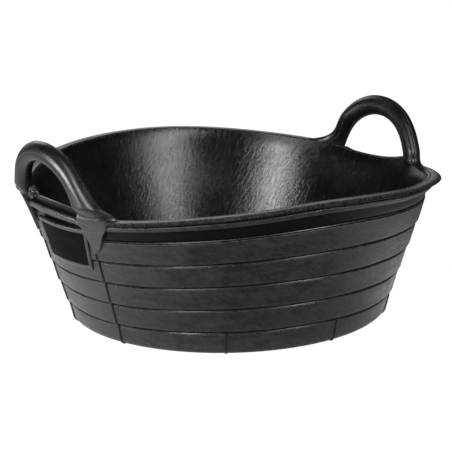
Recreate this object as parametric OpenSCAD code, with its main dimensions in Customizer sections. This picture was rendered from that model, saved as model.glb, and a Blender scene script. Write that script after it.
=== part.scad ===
// Rubber feed tub with two loop handles.
// X runs through the handles, Y runs side to side, Z is up from the ground.
// The wall is a smooth liner dressed with five lapped bands and a rim course.
// The tub is a little longer than wide, and its rim dips towards the handles.

/* [Tub] */
// Length across the rim lip, in line with the handles
rim_length = 475; // [400:1:560]
// Width across the rim lip, side to side
rim_width = 445; // [380:1:540]
// Height of the rim in the middle of each side
side_height = 165; // [130:1:200]
// Height of the rim under each handle
end_height = 143; // [120:1:190]
// Mean diameter of the wall where it meets the ground
base_d = 339; // [290:1:380]

/* [Wall] */
// Thickness of the smooth inner liner
liner_t = 4.5; // [3:0.1:7]
// Thickness of a band at its thin upper edge
band_t = 2.5; // [2:0.1:4]
// How far the lower lip of a band stands out past its upper edge
lap = 2.1; // [1:0.1:3.5]
// Depth of the crease between two bands
crease = 0.8; // [0.3:0.1:1.5]
// Radius of the rounded heel under the lowest band
heel_r = 9; // [6:0.5:12]

/* [Floor] */
// Thickness of the floor sheet
floor_t = 8; // [5:0.5:12]
// Radius of the cove between floor and wall
cove_r = 14; // [8:0.5:22]

/* [Rim] */
// Height of the plain course above the bands
course_h = 24.5; // [20:0.5:34]
// Width of the flared lip on top of the wall
lip_w = 11.5; // [8:0.5:15]
// Depth of the rolled lip from its crest to its underside
lip_t = 7; // [5:0.1:9]
// Overhang of the lip past the wall
lip_overhang = 9.5; // [6:0.5:12]
// Height of the round bead under the lip
bead_h = 3.6; // [3:0.1:5]

/* [Handles] */
// Width of the left hand hole at the rim
left_grip_w = 110; // [95:1:130]
// Width of the right hand hole at the rim
right_grip_w = 120; // [95:1:130]
// Height of the hand hole above the rim
grip_h = 50; // [36:1:60]
// Thickness of the bar in the plane of the loop
bar_t = 20; // [15:0.5:26]
// Depth of the bar across the wall
bar_d = 17; // [13:0.5:24]
// Length by which each foot flares along the rim
foot_flare = 28; // [20:1:50]
// Height over which each foot grows out of the rim into the bar
foot_rise = 14; // [8:0.5:20]
// Rise of the wall into a sill under the left hand hole
left_sill = 11.5; // [0:0.5:14]
// Rise of the wall into a sill under the right hand hole
right_sill = 2; // [0:0.5:14]
// Distance of the left loop outward from the middle of the wall
left_reach = 10; // [-7:0.5:11]
// Distance of the right loop outward from the middle of the wall
right_reach = -5.5; // [-7:0.5:11]
// Outward lean of the left loop, in degrees
left_lean = -2; // [-8:1:15]
// Outward lean of the right loop, in degrees
right_lean = -1; // [-8:1:15]

/* [Gussets] */
// Width of a gusset at the rim
gusset_w = 34; // [26:1:48]
// Drop of a gusset from the rim to its tip
gusset_drop = 41; // [30:1:50]
// Thickness of a gusset at its tip
gusset_t = 1.4; // [0.8:0.1:3]
// Thickness of a gusset at the rim
gusset_full = 3.2; // [2:0.1:5]

/* [Badge] */
// Width of the bare badge plate
badge_w = 88; // [60:1:100]
// Height of the bare badge plate
badge_h = 49; // [30:1:56]
// Offset of the plate from the middle of the handle, towards the front
badge_shift = 8; // [-10:1:10]
// Width of the raised border
border_w = 3; // [2:0.5:6]
// Height of the border above the panel
border_h = 1.2; // [0.8:0.1:3]
// Thickness of the panel
badge_t = 0.9; // [0.6:0.1:3]

/* [Fits] */
// Bond line between two plies
bond = 0.15; // [0.1:0.05:0.3]
// Clearance of the heel above the ground
foot_gap = 0.4; // [0.2:0.1:1]

/* [Hidden] */

// Columns round the tub, rings along a handle, and points round the bar
columns = 72;
arch_rings = 37;
bar_points = 16;
arc_steps = 4;
bands = 5;

// Mean round form that the oval and the dip are laid on
lip_r = (rim_length + rim_width) / 4;
long_k = rim_length / (2 * lip_r);
wide_k = rim_width / (2 * lip_r);
rim_h = (side_height + end_height) / 2;
dip = (side_height - end_height) / 2;
wall_top_r = lip_r - lip_overhang;
wall_t = liner_t + band_t + bond;
band_h = (rim_h - course_h) / bands;
slope = (wall_top_r - base_d / 2) / rim_h;
proud = lap + bond;

// Outline of the bands' upper edges, level by level
function wall_r(z) = base_d / 2 + slope * z;

// Height of the upper edge of a band, counted from the top
function crease_z(i) = rim_h - course_h - (i - 1) * band_h;

// Rise of the rim course, and of the wall behind it, between the feet of a handle
sill_zone = 0.6 * course_h;
function off_axis(phi) = asin(abs(sin(phi)));
function sill_deg(phi) = arc_deg((cos(phi) > 0 ? right_grip_w : left_grip_w) / 2);
function sill(z, phi) =
    (cos(phi) > 0 ? right_sill : left_sill)
    * min(1, max(0, (z - rim_h + course_h) / sill_zone))
    * min(1, max(0, (sill_deg(phi) - off_axis(phi)) / 4));

// Drop of a level at an angle, nothing at the floor and all of the dip at the rim
function settle_z(z, phi) = z - dip * cos(2 * phi) * max(0, z - floor_t) / (rim_h - floor_t);

// A point of the mean round form, moved to the oval and the dip
function settle(r, phi, z) = [r * long_k * cos(phi), r * wide_k * sin(phi), settle_z(z, phi)];

// Angle of an arc length along the rim
function arc_deg(s) = s / wall_top_r * 180 / PI;

// Triangles of a skin over rings of points, closed on itself or capped
function side_faces(m, n, wrap) = [
    for (i = [0 : (wrap ? m : m - 1) - 1], j = [0 : n - 1])
        let (a = i * n + j, b = i * n + (j + 1) % n)
        let (c = ((i + 1) % m) * n + (j + 1) % n, d = ((i + 1) % m) * n + j)
        each [[a, b, c], [a, c, d]]
];
function cap_faces(first, n, flip) = [
    for (j = [0 : n / 2 - 2])
        let (a = first + j, b = first + j + 1, c = first + n - 2 - j, d = first + n - 1 - j)
        each flip ? [[a, c, b], [a, d, c]] : [[a, b, c], [a, c, d]]
];

module skin(rings, wrap = false) {
    m = len(rings);
    n = len(rings[0]);
    caps = wrap ? [] : concat(cap_faces(0, n, true), cap_faces((m - 1) * n, n, false));
    polyhedron(points = [for (ring = rings) each ring], faces = concat(side_faces(m, n, wrap), caps));
}

// A profile of [radius, height] points carried all the way round the tub
module hoop(profile) {
    skin([
        for (i = [0 : columns - 1])
            let (phi = 360 * i / columns)
            [for (p = profile) settle(p[0], phi, p[1]) + [0, 0, sill(p[1], phi)]]
    ], wrap = true);
}

// The same profile carried from one angle to another
module strip(profile, from, to) {
    steps = round((to - from) * columns / 360);
    skin([
        for (i = [0 : steps])
            [for (p = profile) settle(p[0], from + (to - from) * i / steps, p[1])]
    ]);
}

// Heel arc under the lowest band, from the ground up to the wall
heel_x = wall_r(heel_r) + lap - heel_r;
function heel_arc() = [
    for (i = [0 : arc_steps])
        let (a = -90 + 90 * i / arc_steps)
        [heel_x + heel_r * cos(a), heel_r + foot_gap + heel_r * sin(a)]
];

// Outer face of a band, from the lip over its lower crease to its upper edge
function band_face(low, high) = [
    [wall_r(low) - crease, low + bond / 2],
    [wall_r(low) + 0.55 * lap, low + 0.9],
    [wall_r(low) + 0.95 * lap, low + 2.6],
    [wall_r(low + 5) + lap, low + 5],
    [wall_r(high - 2) + 0.35 * lap, high - 2],
    [wall_r(high) - crease, high - bond / 2]
];

floor_top_r = wall_r(floor_t) - band_t - bond;
floor_low_r = heel_x - bond;

// The bevelled disc is cut off flat at the ground
module floor_sheet() {
    bevel = (floor_top_r - floor_low_r) / floor_t;
    color("#1f2021")
        difference() {
            scale([long_k, wide_k, 1])
                translate([0, 0, -floor_t])
                    cylinder(h = 2 * floor_t, r1 = floor_low_r - bevel * floor_t, r2 = floor_top_r,
                        $fn = 96);
            translate([-rim_length / 2, -rim_length / 2, -2 * floor_t])
                cube([rim_length, rim_length, 2 * floor_t]);
        }
}

module wall_liner() {
    seat = floor_t + bond;
    inner_r = wall_r(seat) - wall_t;
    outer = [for (i = [bands : -1 : 1]) [wall_r(crease_z(i)) - band_t - bond, crease_z(i)]];
    inner = [for (i = [1 : 2 : bands]) [wall_r(crease_z(i)) - wall_t, crease_z(i)]];
    cove_top = seat + cove_r;
    cove = [
        for (i = [0 : arc_steps - 1])
            let (a = 90 * i / arc_steps)
            [wall_r(cove_top) - wall_t - cove_r + cove_r * cos(a), cove_top - (cove_r - 1) * sin(a)]
    ];
    profile = concat(
        [[wall_r(seat) - band_t - bond, seat]],
        outer,
        [
            [wall_top_r - band_t - bond, rim_h - 1],
            [wall_top_r - band_t - bond - 1, rim_h],
            [wall_top_r - wall_t + 1.5, rim_h],
            [wall_top_r - wall_t, rim_h - 1.5]
        ],
        inner,
        cove,
        [[inner_r - cove_r, seat + 1], [inner_r - cove_r, seat]]
    );
    color("#232425")
        hoop(profile);
}

module lap_band(i) {
    high = crease_z(i);
    low = i == bands ? floor_t : crease_z(i + 1);
    back = [
        [wall_r(high) - band_t, high - bond / 2],
        [wall_r(low) - band_t, low + (i == bands ? bond : bond / 2)]
    ];
    heel = concat(
        [[heel_x, foot_gap]],
        [for (p = heel_arc()) if (p[1] > foot_gap + 0.1) p],
        [
            [wall_r(high - 2) + 0.35 * lap, high - 2],
            [wall_r(high) - crease, high - bond / 2]
        ]
    );
    color("#2b2c2d")
        hoop(concat(i == bands ? heel : band_face(low, high), back));
}

// Bead just under the lip, the plain recess below it, and the wall's edge in the hand holes
bead_top = rim_h - lip_t - 0.6;
function course_top(phi) =
    rim_h - lip_t + (lip_t - bond) * min(1, max(0, (sill_deg(phi) + 6 - off_axis(phi)) / 6));
function course_profile(low, bead_low, top) = [
    [wall_r(low) - crease, low + bond / 2],
    [wall_r(bead_low) - crease, bead_low],
    [wall_r(bead_low + 0.2 * bead_h) + 0.7 * lap, bead_low + 0.2 * bead_h],
    [wall_r(bead_low + 0.5 * bead_h) + lap, bead_low + 0.5 * bead_h],
    [wall_r(bead_low + 0.8 * bead_h) + 0.7 * lap, bead_low + 0.8 * bead_h],
    [wall_r(bead_top) - crease, bead_top],
    [wall_r(top) - crease, top],
    [wall_r(top) - band_t, top],
    [wall_r(low) - band_t, low + bond / 2]
];
module rim_course() {
    color("#262728")
        skin([
            for (i = [0 : columns - 1])
                let (phi = 360 * i / columns)
                [
                    for (p = course_profile(crease_z(1), bead_top - bead_h, course_top(phi)))
                        settle(p[0], phi, p[1]) + [0, 0, sill(p[1], phi)]
                ]
        ], wrap = true);
}

// Rolled lip on top of the wall: a narrow crest and a face that falls outward
crest_r = lip_r - 0.57 * lip_w;
module rim_lip(from_grip, to_grip) {
    inside = max(lip_r - lip_w, wall_top_r - band_t);
    under = rim_h - lip_t + bond;
    color("#2e2f30")
        strip([
            [wall_top_r - band_t, under],
            [lip_r - 1.2, under + 0.8],
            [lip_r, rim_h - 0.62 * lip_t],
            [lip_r - 0.9, rim_h - 0.36 * lip_t],
            [lip_r - 3.2, rim_h - 0.1 * lip_t],
            [crest_r, rim_h],
            [inside + 1.2, rim_h],
            [inside, rim_h - 1.2]
        ], arc_deg(from_grip / 2 + gusset_w + 2 * bond), 180 - arc_deg(to_grip / 2 + gusset_w + 2 * bond));
}

// Rounded square section of the bar
function soft(c) = sign(c) * pow(abs(c), 0.78);

// A foot spreads over the wall and its gusset, and over the crest of the lip beyond the gusset
base_in_r = wall_top_r - wall_t;
foot_out_r = wall_top_r + proud + gusset_full;
function base_out_r(s, grip_w) =
    crest_r + (foot_out_r - crest_r) * min(1, max(0, (grip_w / 2 + gusset_w - abs(s)) / 8));

// Smooth growth from 0 to 1
function grow(x) = let (k = min(1, max(0, x))) k * k * (3 - 2 * k);

// One ring of the handle at an angle round its arch
function arch_ring(t, grip_w, reach, lean) =
    let (hole = [grip_w / 2 * cos(t), grip_h * sin(t)])
    let (flare = sign(cos(t)) * foot_flare * pow(1 - sin(t), 4.3))
    let (crown = [(grip_w / 2 + bar_t) * cos(t) + flare, (grip_h + bar_t) * sin(t)])
    [
        for (j = [0 : bar_points - 1])
            let (a = 360 * (j + 0.5) / bar_points)
            let (at = (hole + crown) / 2 + (crown - hole) / 2 * soft(cos(a)))
            let (k = grow(at[1] / foot_rise))
            let (mid = wall_mid_r + reach + tan(lean) * at[1])
            let (inner = base_in_r * (1 - k) + (mid - bar_d / 2) * k)
            let (outer = base_out_r(at[0], grip_w) * (1 - k) + (mid + bar_d / 2) * k)
            let (r = (inner + outer) / 2 + (outer - inner) / 2 * soft(sin(a)))
            settle(r, arc_deg(at[0]), rim_h) + [0, 0, at[1] + bond]
    ];

wall_mid_r = wall_top_r - wall_t / 2;
module handle(grip_w, reach, lean) {
    color("#303132")
        skin([for (i = [0 : arch_rings - 1]) arch_ring(180 * i / (arch_rings - 1), grip_w, reach, lean)]);
}

// Tongue under one foot of a handle, tapering down the wall to its tip
gusset_rows = 9;
gusset_cols = 6;
module gusset(grip_w) {
    top = rim_h;
    tip_phi = arc_deg(grip_w / 2 + 0.25 * gusset_w);
    inner_deg = arc_deg(0.25 * gusset_w);
    outer_deg = arc_deg(0.75 * gusset_w);
    color("#333435")
        skin([
            for (i = [0 : gusset_rows - 1])
                let (v = (i + 0.35) / (gusset_rows - 0.65))
                let (z = top - gusset_drop * (1 - v))
                let (from = tip_phi - inner_deg * pow(v, 0.75), to = tip_phi + outer_deg * pow(v, 0.6))
                let (out = gusset_t + (gusset_full - gusset_t) * pow(v, 1.7))
                concat(
                    [
                        for (j = [0 : gusset_cols - 1])
                            settle(wall_r(z) + proud, from + (to - from) * j / (gusset_cols - 1), z)
                    ],
                    [
                        for (j = [gusset_cols - 1 : -1 : 0])
                            settle(wall_r(z) + proud + out, from + (to - from) * j / (gusset_cols - 1), z)
                    ]
                )
        ]);
}

// Bare plate between the gussets, a panel inside a raised border
function badge_steps(size) = [
    -size / 2, -size / 2 + 0.6, -size / 2 + border_w, -size / 2 + border_w + 0.8,
    -size / 6, size / 6,
    size / 2 - border_w - 0.8, size / 2 - border_w, size / 2 - 0.6, size / 2
];
module badge_plate() {
    us = badge_steps(badge_w);
    vs = badge_steps(badge_h);
    last = len(us) - 1;
    middle_z = bead_top - bead_h - 2.8 - badge_h / 2;
    function framed(i) = i <= 2 || i >= last - 2;
    function edge(i) = i == 0 || i == last;
    function rise(i, j) =
        edge(i) || edge(j) ? badge_t + 0.5 * border_h
        : framed(i) || framed(j) ? badge_t + border_h : badge_t;
    color("#1c1d1e")
        skin([
            for (i = [0 : last])
                let (z = middle_z + vs[i])
                concat(
                    [for (j = [0 : last]) settle(wall_r(z) + proud, 180 + arc_deg(badge_shift + us[j]), z)],
                    [
                        for (j = [last : -1 : 0])
                            settle(wall_r(z) + proud + rise(i, j), 180 + arc_deg(badge_shift + us[j]), z)
                    ]
                )
        ]);
}

floor_sheet();
wall_liner();
lap_band(1);  // lap_band_1
lap_band(2);  // lap_band_2
lap_band(3);  // lap_band_3
lap_band(4);  // lap_band_4
lap_band(5);  // lap_band_5
rim_course();
rotate([0, 0, 180]) rim_lip(left_grip_w, right_grip_w);  // rim_lip_front
rim_lip(right_grip_w, left_grip_w);  // rim_lip_back
rotate([0, 0, 180]) handle(left_grip_w, left_reach, left_lean);  // handle_left
handle(right_grip_w, right_reach, right_lean);  // handle_right
rotate([0, 0, 180]) gusset(left_grip_w);  // gusset_left_front
rotate([0, 0, 180]) mirror([0, 1, 0]) gusset(left_grip_w);  // gusset_left_back
mirror([0, 1, 0]) gusset(right_grip_w);  // gusset_right_front
gusset(right_grip_w);  // gusset_right_back
badge_plate();
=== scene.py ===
"""Looks of a black rubber feed tub with two loop handles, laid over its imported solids.

The wall is drawn in profile and spun, and the loops, tongues and plate are lofted from grids.
Every piece is laid on the tub's own form: slightly oval, with a rim that dips at the handles.
Lengths are in metres and the frame is the one of the solids.
"""

from math import asin, atan2, ceil, copysign, cos, degrees, exp, hypot, pi, radians, sin, sqrt, tan
from types import SimpleNamespace

import bpy
from bpy.props import FloatProperty, FloatVectorProperty, IntProperty, PointerProperty
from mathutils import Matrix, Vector, noise


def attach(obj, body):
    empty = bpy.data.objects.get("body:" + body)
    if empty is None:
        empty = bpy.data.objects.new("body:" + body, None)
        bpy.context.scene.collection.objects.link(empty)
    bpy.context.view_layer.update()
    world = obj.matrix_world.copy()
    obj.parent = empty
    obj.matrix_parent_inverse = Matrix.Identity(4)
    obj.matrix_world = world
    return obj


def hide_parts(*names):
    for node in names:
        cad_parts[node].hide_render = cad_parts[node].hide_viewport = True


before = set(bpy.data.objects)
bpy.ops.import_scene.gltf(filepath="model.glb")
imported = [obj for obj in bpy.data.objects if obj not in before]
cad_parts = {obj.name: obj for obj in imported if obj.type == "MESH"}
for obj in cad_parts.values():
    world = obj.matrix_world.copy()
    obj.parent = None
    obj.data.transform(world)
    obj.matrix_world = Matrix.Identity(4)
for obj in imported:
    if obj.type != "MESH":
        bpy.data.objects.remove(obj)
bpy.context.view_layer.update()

bl_info = {
    "name": "Rubber Feed Tub",
    "version": (1, 0, 0),
    "blender": (4, 5, 0),
    "location": "View3D > Sidebar > Feed Tub",
    "description": "Builds a lapped rubber feed tub with two loop handles",
    "category": "Mesh",
}

FULL_TURN = 2 * pi

# Bond line, and how far laid-on pieces reach into the wall as a share of a crease.
BOND, SUNK_SHARE = 0.00015, 0.6

# Waves of hand-laid rubber: count round the tub, twist per metre of height, phase and share.
WAVE_FOOT = 0.03
OUT_WAVE, OUT_WAVES = 0.00022, ((5, 30, 0.6, 1.0), (11, -90, 0.0, 0.7))
UP_WAVE, UP_WAVES = 0.0003, ((3, 40, 0.0, 1.0), (7, -60, 1.7, 0.6))

# Bows of the rim: height, then middle and spread in degrees. They fade out below the rim.
RIM_BOWS = ((0.0016, 258, 11), (-0.0021, 291, 13))
BOW_DEPTH = 0.04

# Sill of a hand hole: its tilt and bow along the rim, its limits, and the angles where it ends.
RIGHT_TILT, RIGHT_BOW, RIGHT_MOST = 0.12, 1.6, 0.0065
LEFT_BOW = 1.8
SILL_MOST, SILL_SPILL, SILL_FADE = 1.05, 0.018, 0.045

# Lapped wall: rounded height, tuck and curve of a lower lip, and the stand-out lost above it.
LIP_ROUND, LIP_TUCK, LIP_CURVE, LAP_LOSS = 0.0018, 0.3, 0.8, 0.65
LIP_STEPS = (0.0002, 0.0004, 0.0007, 0.001, 0.0014, 0.0018, 0.004, 0.007, 0.011, 0.015, 0.019)
HEEL_LIFT, HEEL_END, HEEL_STEPS = 0.0004, 0.0095, (0.013, 0.017, 0.021)

# Upper edge of a band: drop below the crease, and stand-out as a share of the lap.
BAND_EDGE = ((0.0034, 0.37), (0.0027, 0.36), (0.0024, 0.33), (0.0022, 0.27), (0.0021, 0.18), (0.002, 0.0))
BAND_DROP, BAND_TUCK = 0.0006, 0.0018

# Section of the flash in a crease, from the wall line and the crease.
FLASH = ((-0.0018, -0.0005), (0.0003, -0.0005), (0.0006, -0.0003), (0.0003, 0.0003), (-0.0018, 0.0004))

# Section of the lip from its outer edge and the rim's height: the underside, then the top.
LIP = (
    (-0.0066, -0.0049), (-0.0064, -0.0038), (-0.005, -0.0031), (-0.0028, -0.0028),
    (-0.0006, -0.0027), (-0.0018, -0.0017), (-0.003, -0.0009), (-0.0045, -0.0003), (-0.0056, -0.0001),
)

# Bar of a loop: degrees and width of its parting lines, their rise, and its rounder side at the crown.
PARTING, PARTING_WIDTH, PARTING_RISE = (1, 88, -88), 2.8, 0.026
CROWN_SQUARE = 0.06

# Legs of the loops: height over which they lean in, and how their forms fade up the arch.
LEG_RISE = 0.045
STOUT_HOLE, STOUT_FADE, STOUT_RISE, SWEEP_FADE, OPEN_FADE = 1 / 7, 0.7, 0.3, 30, 3

# Scar of trimming: half sizes along, across and up, place from the hole's edge and the rim, and lean.
SCAR_SIZE, SCAR_AT, SCAR_LEAN = (0.008, 0.0048, 0.006), (0.006, 0.0058), 0.0035
SCAR_LUMPS = ((2.6, 0.35), (6.5, 0.25))

# Tongue: place of its tip across it, its drop under the right loop, and the section it takes on the bar.
TIP_SHARE, RIGHT_DROP, TONGUE_SQUARE = 0.27, 0.005, 0.85

# Plate: rises of its border from the outside in, drop below the rim and lean of its short sides.
BORDER_RISES, PLATE_DROP, PLATE_LEAN = (-3.0, 0.6, 1.0, 1.0, 0.3, -0.5), 0.014, 0.17

# Parting ridges: degrees round the tub of the short ones, and of the heel that all follow.
SHORT_RIDGES, HEEL_ANGLES = (235, 274.3, 311, 125, 85.7, 49), range(-86, 0, 10)

# Rubber: radius at which a texture is wrapped, pores per metre and their depth, and the darker skin without
# bloom that paints in shade.
WRAP_R, PORES, PORE_DEPTH = 0.21, 900, 0.0001
SHADE_SKIN = dict(
    colours=("liner", "handle", "wall"), seam=-1, blotches=(0.05, 0.013), marks=(0.009, 0.0032), turn=0.3
)

# Camera: turn about the tub, distance, height, tilt and pan, and its focal length and width in pixels.
FACING = radians(-35.5)
CAMERA_AWAY, CAMERA_UP, CAMERA_TILT, CAMERA_PAN = 1.713, 0.54, 14.68, 0.143
SENSOR, FOCAL_PX, WIDTH_PX = 36, 1600, 452

# Lamps: name, degrees round from the camera, distance, height, width, tallness and power.
LAMPS = (
    ("softbox_right", 50, 1.9, 1.15, 0.44, 1.3, 27),
    ("softbox_left", -22, 1.9, 0.92, 0.4, 0.95, 29),
    ("side_box", -74, 1.7, 0.24, 0.7, 0.28, 20),
    ("high_box", -28, 1.2, 1.7, 0.8, 0.8, 9),
    ("back_panel", -152, 1.7, 1.05, 0.6, 0.6, 3),
    ("top_panel", 0, 0.2, 2.3, 1.2, 1.2, 0.3),
)
LAMP_AIM = Vector((0, 0, 0.12))
WHITE = (1, 1, 1, 1)


def linear(hexcode):
    """Linear colour of an sRGB hex value."""
    parts = [int(hexcode[i : i + 2], 16) / 255 for i in (0, 2, 4)]
    return tuple(c / 12.92 if c <= 0.04045 else ((c + 0.055) / 1.055) ** 2.4 for c in parts)


def length(name, words, default):
    """A length property in metres."""
    return FloatProperty(name=name, description=words, default=default, unit="LENGTH", precision=4)


def angle(name, words, amount):
    """An angle property from degrees."""
    return FloatProperty(name=name, description=words, default=radians(amount), subtype="ANGLE")


def colour(name, words, hexcode):
    """A colour property from an sRGB hex value."""
    return FloatVectorProperty(
        name=name, description=words, default=linear(hexcode), subtype="COLOR", size=3, min=0, max=1
    )


class TubSizes(bpy.types.PropertyGroup):
    """Sizes of the tub."""

    rim_length: length("Rim length", "Across the lip in line with the handles", 0.475)
    rim_width: length("Rim width", "Across the lip from side to side", 0.445)
    side_height: length("Side height", "Rim height in the middle of a side", 0.165)
    end_height: length("End height", "Rim height under a handle", 0.143)
    base_d: length("Base diameter", "Mean wall diameter at the ground", 0.339)
    liner_t: length("Liner", "Thickness of the inner sheet", 0.0045)
    band_t: length("Band", "Thickness of a band at its upper edge", 0.0025)
    lap: length("Lap", "Stand-out of a band's lower lip", 0.0021)
    crease: length("Crease", "Depth of the crease between bands", 0.0011)
    heel_r: length("Heel radius", "Rounding under the lowest band", 0.009)
    floor_t: length("Floor", "Thickness of the floor sheet", 0.008)
    cove_r: length("Cove radius", "Rounding between floor and wall", 0.014)
    course_h: length("Rim course", "Height of the plain course", 0.0245)
    lip_w: length("Lip width", "Width of the flared lip", 0.0115)
    lip_t: length("Lip thickness", "Depth of the rolled lip", 0.005)
    lip_overhang: length("Lip overhang", "Reach of the lip past the wall", 0.0095)
    bead_h: length("Bead", "Height of the bead under the lip", 0.0056)
    left_grip_w: length("Left grip", "Width of the left hand hole", 0.11)
    right_grip_w: length("Right grip", "Width of the right hand hole", 0.12)
    grip_h: length("Grip height", "Height of the hand hole", 0.05)
    bar_t: length("Bar thickness", "In the plane of the loop", 0.02)
    bar_d: length("Bar depth", "Across the wall", 0.017)
    foot_flare: length("Foot flare", "Flare of a foot along the rim", 0.028)
    foot_rise: length("Foot rise", "Height of a foot up to the bar", 0.014)
    left_sill: length("Left sill", "Rise of the wall under the left hand hole", 0.0097)
    right_sill: length("Right sill", "Rise of the wall under the right hand hole", -0.0005)
    left_reach: length("Left reach", "Left loop outward of the wall's middle", 0.01)
    right_reach: length("Right reach", "Right loop outward of the wall's middle", -0.0055)
    left_lean: angle("Left lean", "Outward lean of the left loop", -2)
    right_lean: angle("Right lean", "Outward lean of the right loop", -1)
    gusset_w: length("Gusset width", "Width of a tongue under a foot", 0.034)
    gusset_drop: length("Gusset drop", "Height of a tongue", 0.041)
    gusset_t: length("Gusset tip", "Thickness of a tongue at its tip", 0.0014)
    gusset_full: length("Gusset top", "Thickness of a tongue at the rim", 0.0032)
    badge_w: length("Plate width", "Width of the bare plate", 0.088)
    badge_h: length("Plate height", "Height of the bare plate", 0.049)
    badge_shift: length("Plate shift", "Plate forward of the handle's middle", 0.008)
    border_w: length("Border width", "Width of the plate's raised border", 0.0045)
    border_h: length("Border height", "Border above the panel", 0.0009)
    badge_t: length("Panel", "Thickness of the plate's panel", 0.0003)
    ridge_w: length("Parting ridge", "Width of a mould parting ridge", 0.0026)
    columns: IntProperty(name="Columns", description="Steps round the tub", default=180, min=48, max=360)


class TubFinish(bpy.types.PropertyGroup):
    """Colours of the tub and its stage."""

    wall: colour("Wall", "Pressed rubber of the bands", "101010")
    bloom: colour("Bloom", "Dusty wax bloom on the bands", "282828")
    liner: colour("Liner", "Calendered rubber of the inside", "070707")
    handle: colour("Handle", "Moulded rubber of the loops and lip", "0B0B0B")
    # Grey of scuffed edges, also painted on as highlights along crests, edges and faces.
    worn_and_highlit: colour("Worn edge and highlight", "Rubbed edges and painted highlights", "484848")
    floor: colour("Floor", "Studio floor", "7C7C7C")


def tub_form():
    """Sizes of the tub with those that follow from them."""
    p = bpy.context.scene.tub_sizes
    f = SimpleNamespace(**{key: getattr(p, key) for key in p.__annotations__})
    bead_gap, crest_share = 0.0014, 0.57
    f.lip_r = (f.rim_length + f.rim_width) / 4
    f.long_k = f.rim_length / (2 * f.lip_r)
    f.wide_k = f.rim_width / (2 * f.lip_r)
    f.rim_h = (f.side_height + f.end_height) / 2
    f.dip = (f.side_height - f.end_height) / 2
    f.wall_top_r = f.lip_r - f.lip_overhang
    f.wall_t = f.liner_t + f.band_t
    f.wall_mid_r = f.wall_top_r - f.wall_t / 2
    f.base_in_r = f.wall_top_r - f.wall_t
    f.bands = 5
    f.band_h = (f.rim_h - f.course_h) / f.bands
    f.slope = (f.wall_top_r - f.base_d / 2) / f.rim_h
    f.lip_low = f.rim_h - f.lip_t
    f.bead_low = f.lip_low - bead_gap - f.bead_h
    f.crest_r = f.lip_r - crest_share * f.lip_w
    f.foot_out_r = f.wall_top_r + f.lap + f.gusset_full
    f.heel_x = wall_r(f, f.heel_r) + f.lap - f.heel_r
    return f


def wall_r(f, z):
    """Radius of the mean wall line at a height."""
    return f.base_d / 2 + f.slope * z


def crease_z(f, i):
    """Height of the upper edge of a band, counted from the top."""
    return f.rim_h - f.course_h - (i - 1) * f.band_h


def arc_angle(f, s):
    """Angle of an arc length along the rim."""
    return s / f.wall_top_r


def clamp(x, most=1.0):
    """A number held between 0 and a limit."""
    return max(0.0, min(most, x))


def smooth(x):
    """Smooth step from 0 to 1."""
    x = clamp(x)
    return x * x * (3 - 2 * x)


def bell(x):
    """Bell curve of height 1."""
    return exp(-(x**2))


def spaced(first, last, count):
    """Evenly spaced numbers from first to last."""
    return [first + k * (last - first) / (count - 1) for k in range(count)]


def waves(rows, phi, z):
    """Sum of the waves of hand-laid rubber at an angle and a height."""
    return sum(share * sin(count * phi + twist * z + phase) for count, twist, phase, share in rows)


def from_end(phi):
    """Angle from the nearer end of the tub."""
    return asin(min(1.0, abs(sin(phi))))


def end_form(f, phi):
    """Width of the hand hole at the end an angle belongs to, and the rise of the sill under it."""
    along = f.wall_top_r * sin(phi)
    if cos(phi) > 0:
        return f.right_grip_w, min(RIGHT_MOST, f.right_sill - RIGHT_TILT * along + RIGHT_BOW * along**2)
    return f.left_grip_w, f.left_sill - LEFT_BOW * along**2


def lay(f, r, phi, z, sill=False):
    """A point of the round form laid on the oval, dipped form, with the waviness of hand-laid rubber."""
    calm = clamp(z / WAVE_FOOT)
    r += calm * OUT_WAVE * waves(OUT_WAVES, phi, z)
    level = z - f.dip * cos(2 * phi) * max(0.0, z - f.floor_t) / (f.rim_h - f.floor_t)
    level += calm * UP_WAVE * waves(UP_WAVES, phi, z)
    at = degrees(phi) % 360
    bow = sum(height * bell((at - middle) / spread) for height, middle, spread in RIM_BOWS)
    level += bow * smooth((z - f.rim_h + BOW_DEPTH) / BOW_DEPTH)
    if sill:
        grip, rise = end_form(f, phi)
        share = clamp((z - f.rim_h + f.course_h) / f.course_h, SILL_MOST)
        level += rise * share * smooth((arc_angle(f, grip / 2) + SILL_SPILL - from_end(phi)) / SILL_FADE)
    return Vector((r * f.long_k * cos(phi), r * f.wide_k * sin(phi), level))


def band_offset(f, z):
    """Stand-out of the lapped wall from its mean line at a height below the rim course."""
    heel_top = crease_z(f, f.bands)
    if z <= heel_top:
        return f.lap * (1 - LAP_LOSS * (z - HEEL_END) / (heel_top - HEEL_END))
    top = crease_z(f, 1)
    u = z - (top - ceil((top - z) / f.band_h - 1e-6) * f.band_h)
    if u < LIP_ROUND:
        bulge = sin(pi / 2 * max(0.0, u) / LIP_ROUND) ** LIP_CURVE
        return f.lap * (LIP_TUCK + (1 - LIP_TUCK) * bulge)
    return f.lap * (1 - LAP_LOSS * (u - LIP_ROUND) / (f.band_h - LIP_ROUND))


def on_wall(f, rows):
    """Profile points from heights and stand-outs from the mean wall line."""
    return [(wall_r(f, z) + out, z) for z, out in rows]


def arc(x, z, across, up, angles):
    """Profile points of an elliptic arc from its centre, its half axes and their angles in degrees."""
    return [(x + across * cos(radians(a)), z + up * sin(radians(a))) for a in angles]


def heel_arc(f, angles):
    """Profile points of the rounded heel."""
    return arc(f.heel_x, f.heel_r + HEEL_LIFT, f.heel_r, f.heel_r, angles)


def to_mode(mode):
    """Changes to edit or object mode."""
    bpy.ops.object.mode_set(mode=mode)


def select_mesh():
    """Selects the whole mesh."""
    bpy.ops.mesh.select_all(action="SELECT")


def start_piece(name, primitive, **settings):
    """Adds a primitive by itself, named and in edit mode, with all of it selected."""
    bpy.ops.object.select_all(action="DESELECT")
    primitive(**settings)
    piece = bpy.context.object
    piece.name = name
    piece.data.name = name
    to_mode("EDIT")
    select_mesh()
    return piece


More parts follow.
